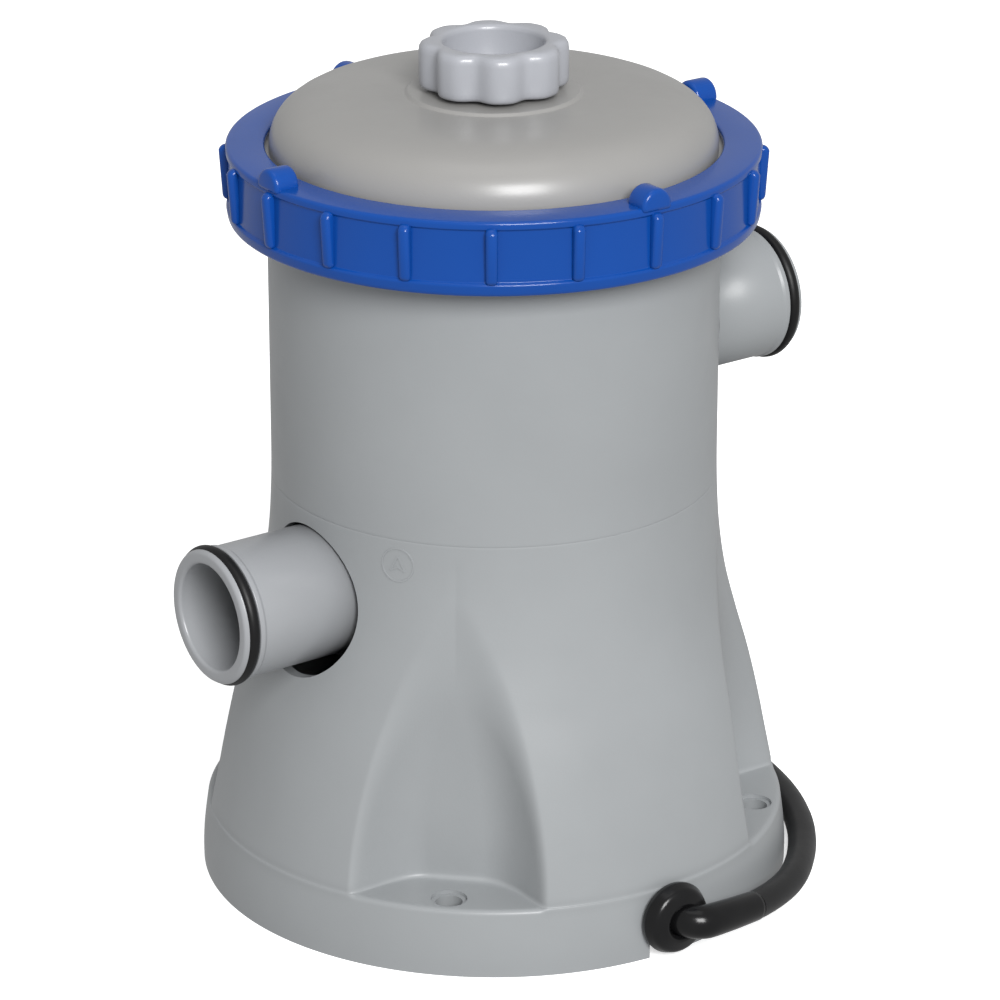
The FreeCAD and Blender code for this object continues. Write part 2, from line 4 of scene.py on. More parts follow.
import bmesh
import bpy
import numpy as np
from mathutils import Matrix, Vector


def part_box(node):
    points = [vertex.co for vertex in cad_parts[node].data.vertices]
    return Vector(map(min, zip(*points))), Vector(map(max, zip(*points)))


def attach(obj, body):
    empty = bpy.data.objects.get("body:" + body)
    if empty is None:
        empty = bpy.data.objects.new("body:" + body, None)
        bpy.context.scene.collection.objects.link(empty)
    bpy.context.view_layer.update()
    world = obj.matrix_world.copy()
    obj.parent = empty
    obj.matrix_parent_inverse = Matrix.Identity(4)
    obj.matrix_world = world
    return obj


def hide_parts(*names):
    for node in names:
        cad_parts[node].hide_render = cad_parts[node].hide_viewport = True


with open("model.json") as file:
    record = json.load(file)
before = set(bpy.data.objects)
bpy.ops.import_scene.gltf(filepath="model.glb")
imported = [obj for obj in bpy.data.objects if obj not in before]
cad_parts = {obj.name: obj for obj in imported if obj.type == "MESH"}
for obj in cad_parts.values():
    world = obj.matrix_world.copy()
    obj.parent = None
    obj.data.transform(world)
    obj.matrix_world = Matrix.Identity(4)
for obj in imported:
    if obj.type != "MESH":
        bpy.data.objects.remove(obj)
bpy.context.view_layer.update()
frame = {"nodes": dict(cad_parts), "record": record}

MM = 0.001
HOUSING = "housing"
SEGMENTS = 192           # round a turned piece
HOUSING_COLUMNS = 960    # round the housing's walls

# ---- places that follow the CAD frame ----------------------------------------
def middle(node, axis):
    """Middle of a CAD node's box along an axis (0, 1 or 2), in millimetres."""
    return sum(corner[axis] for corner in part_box(node)) / 2 / MM


housing_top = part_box("filter_housing")[1]
RIM_Z = housing_top[2] / MM
PORT_END = housing_top[0] / MM
OUTLET_Z = middle("outlet_seal", 2)
INLET_Z = middle("inlet_seal", 2)
SEAL_X = middle("inlet_seal", 0)
EXIT_Z = middle("cord_grommet", 2)

# ---- sizes of the visible shapes ---------------------------------------------
WALL = 2.4
BODY_R = 54.7            # straight chamber wall
SEAM_Z = 103.5           # the chamber stands on the skirt here
# Height and radius of the outer wall, from the foot of the skirt to the neck.
BELL = [(0, 73.5), (4, 73.5), (16, 72.2), (28, 69.9), (40, 67.3), (52, 64.2), (64, 60.6), (76, 57.5),
        (88, 55.7), (100, 54.9), (112, 54.7), (190, 54.7)]

QUARTERS = 4             # pockets, posts and lugs
SHELF_Z = 17.0           # floor of each screw pocket
SHELF_LIP = 1.4          # rounding of the shelf's front and back edges
POCKET_BACK = 55.5
POCKET_TIP_Z = 88.5
POCKET_HALF = 23.6
POCKET_SLOPE = 1.05
POST_CIRCLE_R = 66.0
POST_R = 5.6
POST_HOLE_R = 3.3
POST_SINK_R = 4.4        # mouth of the countersunk hole

PORT_BORE = 13.1
PORT_R = 16.25
PORT_LIP_R = 16.66
SEAL_R = 15.64
SEAL_SECTION = 1.6
OUTLET_HOLE_R = 18.6
OUTLET_HOLE_Z = 81.4
LEAD_SLOT_R = 6.13

THREAD_PITCH = 6.0
THREAD_DEPTH = 2.4
RING_BORE = 57.9
RING_OPEN = 55.0
RING_R = 64.4
RING_FOOT_Z = 169.0
RING_TOP_Z = 187.2
RIB_COUNT = 20
RIB_HALF = 1.45
LUG_R = 4.2              # a lug is a half-round tab of this radius

LID_R = 54.0
LID_EDGE_Z = 186.4       # the crown starts here
LID_TOP_Z = 199.0
LID_WALL = 2.4

KNOB_LOBES = 8
KNOB_TURN_DEG = 16.2     # first lobe
KNOB_DIP = 2.0           # depth of the hollow between two lobes


# ---- mesh helpers -----------------------------------------------------------
def add_mesh(name, points, faces, smooth=True):
    mesh = bpy.data.meshes.new(name)
    mesh.from_pydata([tuple(c * MM for c in p) for p in points], [], faces)
    mesh.validate()
    bm = bmesh.new()
    bm.from_mesh(mesh)
    bmesh.ops.recalc_face_normals(bm, faces=bm.faces)
    bm.to_mesh(mesh)
    bm.free()
    for face in mesh.polygons:
        face.use_smooth = smooth
    piece = bpy.data.objects.new(name, mesh)
    bpy.context.collection.objects.link(piece)
    return piece


def rounded(outline, steps=5, closed=True):
    """Corner points (a, b, radius) to a smooth outline, each corner as an arc."""
    result = []
    count = len(outline)
    for i, (a, b, radius) in enumerate(outline):
        if radius <= 0 or (not closed and i in (0, count - 1)):
            result.append((a, b))
            continue
        here = Vector((a, b))
        before = Vector(outline[i - 1][:2]) - here
        after = Vector(outline[(i + 1) % count][:2]) - here
        half = before.angle(after) / 2
        reach = min(radius / math.tan(half), 0.49 * before.length, 0.49 * after.length)
        size = reach * math.tan(half)
        centre = here + (before.normalized() + after.normalized()).normalized() * (size / math.sin(half))
        start = here + before.normalized() * reach - centre
        end = here + after.normalized() * reach - centre
        sweep = start.angle_signed(end)
        for k in range(steps + 1):
            turn = Matrix.Rotation(-sweep * k / steps, 2)
            result.append(tuple(centre + turn @ start))
    return result


def lathe(name, outline, closed=True, segments=SEGMENTS, axis="Z", origin=(0, 0, 0)):
    """Turn a (radius, along) outline about an axis through origin."""
    points, faces = [], []
    rows = len(outline)
    for k in range(segments):
        angle = 2 * math.pi * k / segments
        for radius, along in outline:
            across = (radius * math.cos(angle), radius * math.sin(angle))
            if axis == "Z":
                local = (across[0], across[1], along)
            elif axis == "X":
                local = (along, across[0], across[1])
            else:
                local = (across[0], along, across[1])
            points.append(tuple(o + c for o, c in zip(origin, local)))
    for k in range(segments):
        a, b = k * rows, (k + 1) % segments * rows
        for i in range(rows if closed else rows - 1):
            j = (i + 1) % rows
            faces.append((a + i, a + j, b + j, b + i))
    piece = add_mesh(name, points, faces)
    clean(piece)
    return piece


def clean(piece, distance=1e-6):
    """Merge points that fall together, such as those on a turned piece's axis."""
    bm = bmesh.new()
    bm.from_mesh(piece.data)
    bmesh.ops.remove_doubles(bm, verts=bm.verts, dist=distance)
    bmesh.ops.dissolve_degenerate(bm, edges=bm.edges, dist=distance)
    bmesh.ops.recalc_face_normals(bm, faces=bm.faces)
    bm.to_mesh(piece.data)
    bm.free()


def grid_faces(rows, columns):
    """Faces between neighbouring rows of points, where each row goes once round."""
    faces = []
    for i in range(rows - 1):
        for k in range(columns):
            n = (k + 1) % columns
            faces.append((i * columns + k, i * columns + n, (i + 1) * columns + n, (i + 1) * columns + k))
    return faces


BOX_FACES = [(3, 2, 1, 0), (4, 5, 6, 7), (0, 1, 5, 4), (1, 2, 6, 5), (2, 3, 7, 6), (3, 0, 4, 7)]


def block(low_corner, high_corner):
    """Corner points and faces of a box, for joined()."""
    x0, y0, z0 = low_corner
    x1, y1, z1 = high_corner
    points = [(x, y, z) for z in (z0, z1) for x, y in ((x0, y0), (x1, y0), (x1, y1), (x0, y1))]
    return points, BOX_FACES


def prism(outline, low_y, high_y):
    """An (x, z) outline pushed along Y."""
    count = len(outline)
    points = [(x, y, z) for y in (low_y, high_y) for x, z in outline]
    faces = [tuple(range(count)), tuple(range(2 * count - 1, count - 1, -1))]
    faces += [(i, (i + 1) % count, (i + 1) % count + count, i + count) for i in range(count)]
    return points, faces


def turned(shape, degrees, centre=(0, 0)):
    """Turn points about their own Z axis, then set them down at centre."""
    points, faces = shape
    c, s = math.cos(math.radians(degrees)), math.sin(math.radians(degrees))
    moved = [(centre[0] + c * x - s * y, centre[1] + s * x + c * y, z) for x, y, z in points]
    return moved, faces


def joined(name, shapes, smooth=True):
    """One mesh from several (points, faces) shapes."""
    points, faces = [], []
    for more_points, more_faces in shapes:
        start = len(points)
        points += more_points
        faces += [tuple(start + i for i in face) for face in more_faces]
    return add_mesh(name, points, faces, smooth)


def apply_all(piece):
    """Replace a piece's mesh by what its modifiers make of it."""
    graph = bpy.context.evaluated_depsgraph_get()
    mesh = bpy.data.meshes.new_from_object(piece.evaluated_get(graph))
    piece.modifiers.clear()
    piece.data = mesh


def merge(target, *others):
    """Put other pieces' meshes into target."""
    bm = bmesh.new()
    bm.from_mesh(target.data)
    for other in others:
        bm.from_mesh(other.data)
        bpy.data.objects.remove(other)
    bm.to_mesh(target.data)
    bm.free()


def bevel(piece, width, steps=3, angle=40):
    modifier = piece.modifiers.new("bevel", "BEVEL")
    modifier.width = width * MM
    modifier.segments = steps
    modifier.limit_method = "ANGLE"
    modifier.angle_limit = math.radians(angle)


def sharp_shading(piece, degrees=35):
    """Smooth shading that keeps corners steeper than this crisp."""
    bm = bmesh.new()
    bm.from_mesh(piece.data)
    for edge in bm.edges:
        edge.smooth = len(edge.link_faces) == 2 and edge.calc_face_angle(0) < math.radians(degrees)
    bm.to_mesh(piece.data)
    bm.free()
    for face in piece.data.polygons:
        face.use_smooth = True


# ---- materials --------------------------------------------------------------
def linear(red, green, blue):
    """8-bit screen colour to the renderer's linear colour."""
    def one(value):
        value /= 255
        return value / 12.92 if value <= 0.04045 else ((value + 0.055) / 1.055) ** 2.4
    return (one(red), one(green), one(blue), 1.0)


def new_material(name):
    material = bpy.data.materials.new(name)
    material.use_nodes = True
    shader = material.node_tree.nodes["Principled BSDF"]
    return material, material.node_tree, shader


def noise(tree, scale, detail=3.0, roughness=0.5, stretch=(1, 1, 1)):
    nodes, links = tree.nodes, tree.links
    place = nodes.new("ShaderNodeTexCoord")
    mapping = nodes.new("ShaderNodeMapping")
    mapping.inputs["Scale"].default_value = stretch
    texture = nodes.new("ShaderNodeTexNoise")
    texture.inputs["Scale"].default_value = scale
    texture.inputs["Detail"].default_value = detail
    texture.inputs["Roughness"].default_value = roughness
    links.new(place.outputs["Object"], mapping.inputs["Vector"])
    links.new(mapping.outputs["Vector"], texture.inputs["Vector"])
    return texture.outputs["Fac"]


def ramp(tree, value, low_colour, high_colour, low_at=0.3, high_at=0.7):
    node = tree.nodes.new("ShaderNodeValToRGB")
    node.color_ramp.elements[0].position = low_at
    node.color_ramp.elements[0].color = low_colour
    node.color_ramp.elements[1].position = high_at
    node.color_ramp.elements[1].color = high_colour
    tree.links.new(value, node.inputs["Fac"])
    return node.outputs["Color"]


def remap(tree, value, low_value, high_value):
    node = tree.nodes.new("ShaderNodeMapRange")
    node.inputs["From Min"].default_value = 0.3
    node.inputs["From Max"].default_value = 0.7
    node.inputs["To Min"].default_value = low_value
    node.inputs["To Max"].default_value = high_value
    tree.links.new(value, node.inputs["Value"])
    return node.outputs["Result"]


def bump(tree, shader, height, strength, distance):
    node = tree.nodes.new("ShaderNodeBump")
    node.inputs["Strength"].default_value = strength
    node.inputs["Distance"].default_value = distance
    tree.links.new(height, node.inputs["Height"])
    previous = shader.inputs["Normal"].links
    if previous:
        tree.links.new(previous[0].from_socket, node.inputs["Normal"])
    tree.links.new(node.outputs["Normal"], shader.inputs["Normal"])


def shade(colour, factor):
    """The colour made darker or lighter."""
    return tuple(c * factor for c in colour[:3]) + (1.0,)


def moulded(name, colour, rough=0.4, grain=0.5, coat=0.0, spread=0.035, waviness=0.25,
            specular=0.5, gloss=0.12):
    """Injection moulded plastic: faint flow mottling, fine grain and slight sink waviness."""
    material, tree, shader = new_material(name)
    mottle = noise(tree, 22, 4, 0.55)
    base = ramp(tree, mottle, shade(colour, 1 - spread), shade(colour, 1 + spread))
    tree.links.new(base, shader.inputs["Base Color"])
    handling = noise(tree, 60, 5, 0.6)
    tree.links.new(remap(tree, handling, rough - 0.045, rough + 0.055), shader.inputs["Roughness"])
    bump(tree, shader, noise(tree, 30, 1), waviness, 0.0006)
    bump(tree, shader, noise(tree, 1700, 2, 0.6), grain, 0.00004)
    shader.inputs["Specular IOR Level"].default_value = specular
    shader.inputs["Coat Weight"].default_value = coat
    shader.inputs["Coat Roughness"].default_value = gloss
    return material


def rubber(name, colour, rough=0.45, grain=0.4):
    """Black soft moulding with a thin dusty bloom."""
    material, tree, shader = new_material(name)
    bloom = noise(tree, 90, 6, 0.65)
    tree.links.new(ramp(tree, bloom, shade(colour, 0.85), shade(colour, 1.5)), shader.inputs["Base Color"])
    tree.links.new(remap(tree, bloom, rough - 0.06, rough + 0.08), shader.inputs["Roughness"])
    bump(tree, shader, noise(tree, 1100, 3, 0.6), grain, 0.00005)
    shader.inputs["Specular IOR Level"].default_value = 0.3
    return material


def metal(name, colour, rough=0.28, stretch=(1, 1, 30)):
    """Metal with its grain drawn out across the stretched axis."""
    material, tree, shader = new_material(name)
    grain = noise(tree, 260, 4, 0.6, stretch)
    tree.links.new(ramp(tree, grain, shade(colour, 0.9), shade(colour, 1.05)), shader.inputs["Base Color"])
    tree.links.new(remap(tree, grain, rough - 0.06, rough + 0.1), shader.inputs["Roughness"])
    bump(tree, shader, grain, 0.15, 0.00005)
    shader.inputs["Metallic"].default_value = 1.0
    return material


def paper(name, colour):
    """Pleated filter paper with upright fibres."""
    material, tree, shader = new_material(name)
    fibre = noise(tree, 900, 6, 0.75, (1, 1, 0.35))
    tree.links.new(ramp(tree, fibre, shade(colour, 0.9), shade(colour, 1.03)), shader.inputs["Base Color"])
    bump(tree, shader, fibre, 0.5, 0.0002)
    shader.inputs["Roughness"].default_value = 0.9
    return material


MATERIALS = {
    "housing_grey": moulded("housing_grey", linear(146, 149, 151), 0.4, coat=0.15, specular=0.35, gloss=0.25),
    "casing_grey": moulded("casing_grey", linear(150, 152, 155), 0.32, coat=0.2, gloss=0.2),
    "lid_grey": moulded("lid_grey", linear(144, 143, 141), 0.36, coat=0.3, gloss=0.22, specular=0.4),
    "knob_grey": moulded("knob_grey", linear(158, 160, 166), 0.32, coat=0.15),
    "ring_blue": moulded("ring_blue", linear(11, 67, 147), 0.2, grain=0.12, coat=0.12, spread=0.05,
                          specular=0.25, gloss=0.06),
    "seal_rubber": rubber("seal_rubber", linear(13, 13, 14), 0.42),
    "grommet_rubber": rubber("grommet_rubber", linear(14, 14, 15), 0.2, 0.15),
    "cord_rubber": rubber("cord_rubber", linear(17, 17, 18), 0.38, 0.3),
    "plug_rubber": rubber("plug_rubber", linear(24, 24, 25), 0.4, 0.5),
    "pin_metal": metal("pin_metal", linear(205, 205, 202), 0.2),
    "tie_white": moulded("tie_white", linear(222, 222, 216), 0.4),
    "screw_steel": metal("screw_steel", linear(175, 175, 176), 0.3),
    "impeller_white": moulded("impeller_white", linear(226, 226, 220), 0.42),
    "ceramic": moulded("ceramic", linear(236, 232, 222), 0.12, grain=0.1, coat=0.5),
    "magnet": rubber("magnet", linear(62, 62, 66), 0.6),
    "motor_black": moulded("motor_black", linear(40, 41, 43), 0.45),
    "lamination": metal("lamination", linear(120, 122, 126), 0.42, (1, 1, 400)),
    "copper": metal("copper", linear(190, 105, 60), 0.3, (1, 200, 1)),
    "base_grey": moulded("base_grey", linear(140, 144, 147), 0.5),
    "filter_paper": paper("filter_paper", linear(236, 236, 230)),
    "cap_white": moulded("cap_white", linear(210, 216, 222), 0.42),
}


def place(piece, body, slot, *nodes):
    """Give a piece the material of its slot and its body, and hide the CAD nodes that it stands for."""
    piece.data.materials.clear()
    piece.data.materials.append(MATERIALS[slot])
    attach(piece, body)
    if nodes:
        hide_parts(*nodes)


def finish_cad_nodes():
    """The CAD nodes that stay get the material of their slot."""
    slots = {entry["node"]: entry["material_slot"] for entry in frame["record"]["subparts"]}
    for name, node in frame["nodes"].items():
        if name in slots and node.type == "MESH":
            for index in range(len(node.material_slots)):
                node.material_slots[index].material = MATERIALS[slots[name]]


# ---- housing ------------------------------------------------------------------
def bell_radius(z):
    """Radius of the skirt and chamber wall at a height (array)."""
    z = np.asarray(z, float)
    heights, radii = np.array(BELL, float).T
    slopes = np.gradient(radii, heights)
    slopes[0] = slopes[-1] = slopes[-2] = 0.0
    i = np.clip(np.searchsorted(heights, z, side="right") - 1, 0, len(heights) - 2)
    span = heights[i + 1] - heights[i]
    t = (z - heights[i]) / span
    return ((2 * t**3 - 3 * t**2 + 1) * radii[i] + (t**3 - 2 * t**2 + t) * span * slopes[i]
            + (3 * t**2 - 2 * t**3) * radii[i + 1] + (t**3 - t**2) * span * slopes[i + 1])


def soft_min(a, b, k):
    """The smaller of two values, rounded over a width k where they cross."""
    h = np.clip(0.5 + 0.5 * (b - a) / k, 0, 1)
    return b * (1 - h) + a * h - k * h * (1 - h)


def pocket_radius(phi, z, round_out, round_in):
    """Radius of the wall with a screw pocket at phi = 0 (radians)."""
    outside = bell_radius(z)
    u = np.clip((z - SHELF_Z) / (POCKET_TIP_Z - SHELF_Z), 0, 1)
    half = POCKET_HALF * (1 - u**1.75) ** 0.95
    edge_x = np.sqrt(np.maximum(outside**2 - half**2, 1))
    lean = np.cos(phi) - POCKET_SLOPE * np.abs(np.sin(phi))
    side = (edge_x - POCKET_SLOPE * half) / np.maximum(lean, 0.2)
    back = (POCKET_BACK + 0.02 * (z - SHELF_Z)) / np.cos(phi)
    inside = -soft_min(-side, -back, round_in)
    return soft_min(outside, inside, round_out)


def level(z):
    """One height for every column round the housing."""
    return np.full(HOUSING_COLUMNS, z)


def skirt_rows():
    """Outer skin of the skirt with its four screw pockets, as rows of (radius, height) round the axis."""
    theta = 2 * np.pi * np.arange(HOUSING_COLUMNS) / HOUSING_COLUMNS
    phi = (theta % (np.pi / 2)) - np.pi / 4
    low_z = SHELF_Z - SHELF_LIP
    high_z = SHELF_Z + SHELF_LIP
    fall = 0.04              # the shelf drains outwards by this much each side of its middle
    rows = [(bell_radius(level(z)), level(z)) for z in np.linspace(0, low_z, 12)]

    outer = bell_radius(level(low_z))
    inner = pocket_radius(phi, level(high_z), 2.2, 7.0)
    radius = np.minimum(SHELF_LIP, np.maximum(outer - inner, 0) / 2)
    corner = [math.pi / 2 * k / 6 for k in range(1, 7)]
    for a in corner:
        rows.append((outer - radius * (1 - math.cos(a)), level(low_z + SHELF_LIP * math.sin(a) * 0.96)))
    for t in [k / 12 for k in range(1, 12)]:
        across = (outer - radius) * (1 - t) + (inner + radius) * t
        rows.append((across, level(SHELF_Z - fall + 2 * fall * t)))
    for a in corner:
        rise = (SHELF_LIP - fall) * (1 - math.cos(a))
        rows.append((inner + radius * (1 - math.sin(a)), level(SHELF_Z + fall + rise)))

    for z in np.linspace(high_z, 98, 80)[1:]:
        ease = min((z - high_z) / 50, 1)
        rows.append((pocket_radius(phi, level(z), 2.2 + 2.8 * ease, 7.0 + 3.0 * ease), level(z)))
    for z, tuck in ((99.5, 0), (101.5, 0), (102.9, 0), (SEAM_Z - 0.25, 0), (SEAM_Z - 0.01, 0.06)):
        rows.append((bell_radius(level(z)) - tuck, level(z)))
    return rows


def chamber_rows():
    """Outer skin of the filter chamber above the seam."""
    levels = [(SEAM_Z + 0.01, 0.06), (SEAM_Z + 0.25, 0), (SEAM_Z + 0.7, 0)]
    levels += [(z, 0) for z in np.linspace(106, RIM_Z, 24)]
    return [(bell_radius(level(z)) - tuck, level(z)) for z, tuck in levels]


def shell_from(name, rows):
    """A wall of even thickness inside the skin that the rows describe."""
    points = []
    for radius, height in rows:
        for k in range(HOUSING_COLUMNS):
            angle = 2 * math.pi * k / HOUSING_COLUMNS
            points.append((radius[k] * math.cos(angle), radius[k] * math.sin(angle), height[k]))
    shell = add_mesh(name, points, grid_faces(len(rows), HOUSING_COLUMNS))
    solid = shell.modifiers.new("wall", "SOLIDIFY")
    solid.thickness = WALL * MM
    solid.offset = -1
    apply_all(shell)
    return shell


def cutter(name, radius, start, end, mouth=None):
    """Round bar from start to end, used to cut a hole; mouth is (depth along the bar, wider radius)."""
    a, b = Vector(start), Vector(end)
    length = (b - a).length
    outline = [(0, 0), (radius, 0), (radius, length), (0, length)]
    if mouth:
        outline[2:] = [(radius, mouth[0]), (mouth[1], mouth[0]), (mouth[1], length), (0, length)]
    piece = lathe(name, outline, closed=False, segments=96)
    turn = Vector((0, 0, 1)).rotation_difference((b - a).normalized()).to_matrix().to_4x4()
    piece.data.transform(Matrix.Translation(a * MM) @ turn)
    return piece


def cut(piece, cutters):
    """Take the cutters out of a piece, one after another."""
    for tool in cutters:
        modifier = piece.modifiers.new("hole", "BOOLEAN")
        modifier.operation = "DIFFERENCE"
        modifier.solver = "MANIFOLD"
        modifier.object = tool
        before = len(piece.data.polygons)
        apply_all(piece)
        if len(piece.data.polygons) < before / 2:
            raise RuntimeError("cutting " + tool.name + " removed the piece")
        bpy.data.objects.remove(tool)


def thread_ridge(root, outward, start_z, turns, start_deg):
    """Helical ridge that matches the CAD thread."""
    crest = THREAD_DEPTH
    section = [(-0.4, -1.35), (crest - 0.3, -0.85), (crest, -0.6), (crest, 0.6), (crest - 0.3, 0.85), (-0.4, 1.35)]
    points = []
    steps = int(96 * turns)
    for k in range(steps + 1):
        t = k / steps
        angle = math.radians(start_deg) + 2 * math.pi * turns * t
        fade = min(1, t * 18, (1 - t) * 18)
        for across, along in section:
            r = root + outward * (across if across < 0 else across * fade)
            points.append((r * math.cos(angle), r * math.sin(angle), start_z + THREAD_PITCH * turns * t + along))
    count = len(section)
    faces = grid_faces(steps + 1, count)
    faces.append(tuple(range(count)))
    faces.append(tuple(range(steps * count + count - 1, steps * count - 1, -1)))
    return points, faces


def port_outline(inner_end):
    """Hose tube: bore, chamfered nose, seal groove and lip, as (radius, distance from the axis)."""
    nose_r, groove_r = 16.5, 14.05
    groove_out, groove_in = PORT_END - 1.2, PORT_END - 4.2
    return rounded([(PORT_BORE, inner_end, 0), (PORT_BORE, PORT_END, 0.9), (15.9, PORT_END, 1.0),
                    (nose_r, PORT_END - 0.9, 0.3), (nose_r, groove_out, 0.2), (groove_r, groove_out, 0.1),
                    (groove_r, groove_in, 0.1), (PORT_LIP_R, groove_in, 0.25), (PORT_LIP_R, PORT_END - 5.4, 0.25),
                    (PORT_R, PORT_END - 6.1, 0.4), (PORT_R, inner_end, 0)])


def build_chamber():
    chamber = shell_from("chamber_shell", chamber_rows())
    cut(chamber, [cutter("inlet_hole", PORT_BORE, (40, 0, INLET_Z), (90, 0, INLET_Z))])
    inlet_r, edge_r, under_z = 11.9, 53.0, 101.0
    outline = [(inlet_r, under_z, 0.3), (edge_r, under_z, 0), (edge_r, SEAM_Z, 0), (inlet_r, SEAM_Z, 0.3)]
    merge(chamber, lathe("chamber_floor", rounded(outline)))
    sharp_shading(chamber, 40)
    place(chamber, HOUSING, "housing_grey", "filter_housing")


def build_skirt():
    skirt = shell_from("skirt_shell", skirt_rows())
    holes = [cutter("outlet_hole", OUTLET_HOLE_R, (-40, 0, OUTLET_HOLE_Z), (-90, 0, OUTLET_HOLE_Z))]
    arch = [(LEAD_SLOT_R * math.cos(a), EXIT_Z + LEAD_SLOT_R * math.sin(a)) for a in np.linspace(0, math.pi, 25)]
    slot = prism([(LEAD_SLOT_R, -2)] + arch + [(-LEAD_SLOT_R, -2)], -90.3, -60.7)
    holes.append(joined("lead_slot", [slot], smooth=False))
    posts = []
    post_top = SHELF_Z - 1.2
    for k in range(QUARTERS):
        angle = math.radians(45 + 90 * k)
        x, y = POST_CIRCLE_R * math.cos(angle), POST_CIRCLE_R * math.sin(angle)
        holes.append(cutter("screw_hole", POST_HOLE_R, (x, y, 8), (x, y, 22), (SHELF_Z - 8.9, POST_SINK_R)))
        outline = rounded([(POST_HOLE_R, 0.3, 0.3), (POST_R, 0.3, 0.3), (POST_R, post_top, 0),
                           (POST_HOLE_R, post_top, 0)])
        posts.append(lathe("screw_post", outline, segments=64, origin=(x, y, 0)))
    cut(skirt, holes)
    merge(skirt, *posts)
    sharp_shading(skirt, 40)
    place(skirt, HOUSING, "housing_grey", "base_skirt")


def build_neck_and_inlet():
    inlet = lathe("inlet_tube", port_outline(53.5), axis="X", origin=(0, 0, INLET_Z))
    place(inlet, HOUSING, "housing_grey")
    root = lathe("inlet_root", rounded([(16.2, 52.6, 0), (18.2, 53.4, 0), (16.9, 54.9, 0.8), (16.2, 57.2, 0)]),
                 axis="X", origin=(0, 0, INLET_Z))
    place(root, HOUSING, "housing_grey")
    ridge = joined("neck_thread", [thread_ridge(BODY_R, 1, 171.0, 1.5, 0)])
    sharp_shading(ridge)
    place(ridge, HOUSING, "housing_grey")


def build_flow_mark():
    """Faint raised ring with an arrow."""
    centre_z, around, stand, root = 97.3, math.radians(209.9), 0.16, -0.3
    section = ((3.75, root), (3.9, stand), (4.25, stand), (4.4, root))
    count = 64
    points, faces = [], []
    for k in range(count):
        a = 2 * math.pi * k / count
        here, after = 4 * k, 4 * ((k + 1) % count)
        points += [(radius * math.cos(a), radius * math.sin(a), lift) for radius, lift in section]
        faces += [(here + i, here + (i + 1) % 4, after + (i + 1) % 4, after + i) for i in range(4)]
    shapes = [(points, faces)]
    half_width, tail, point, notch = 1.9, -1.5, 2.2, -0.5
    for end in (point, notch):
        for side_x in (-half_width, half_width):
            a, b = Vector((side_x, tail)), Vector((0, end))
            side = (b - a).orthogonal().normalized() * 0.2
            corners = [a - side, a + side, b + side, b - side]
            shapes.append(([(c.x, c.y, lift) for lift in (root, stand) for c in corners], BOX_FACES))
    wrapped = []
    for points, faces in shapes:
        moved = []
        for x, y, lift in points:
            radius = float(bell_radius(centre_z + y)) + lift
            angle = around + x / radius
            moved.append((radius * math.cos(angle), radius * math.sin(angle), centre_z + y))
        wrapped.append((moved, faces))
    mark = joined("flow_mark", wrapped)
    sharp_shading(mark)
    place(mark, HOUSING, "housing_grey")


# ---- pump side ------------------------------------------------------------------
def build_outlet():
    outline = [(r, -x) for r, x in port_outline(30.0)]
    tube = lathe("outlet_tube", outline, axis="X", origin=(0, 0, OUTLET_Z))
    place(tube, HOUSING, "casing_grey", "pump_casing")
    outline = rounded([(12, 101, 0.3), (12, 96, 0.3), (31, 96, 1), (31, 69.4, 0.3), (39.6, 69.4, 0),
                       (39.6, 66.5, 0.3), (45.5, 66.5, 0.6), (45.5, 73, 0.6), (38, 73, 1.2), (38, 98, 1.2),
                       (49, 98, 0.6), (49, 101, 0.6)])
    casing = lathe("pump_casing_shell", outline)
    place(casing, HOUSING, "casing_grey")
    nub = joined("outlet_nub", [block((-60.5, -1.1, OUTLET_Z - 17.6), (-56.0, 1.1, OUTLET_Z - 12))], smooth=False)
    bevel(nub, 0.4)
    place(nub, HOUSING, "casing_grey")


def build_seals():
    angles = np.linspace(0, 2 * math.pi, 24, endpoint=False)
    outline = [(SEAL_R + SEAL_SECTION * math.cos(a), SEAL_SECTION * math.sin(a)) for a in angles]
    for name, x, z in (("outlet_seal", -SEAL_X, OUTLET_Z), ("inlet_seal", SEAL_X, INLET_Z)):
        seal = lathe(name + "_ring", outline, axis="X", origin=(x, 0, z))
        place(seal, HOUSING, "seal_rubber", name)


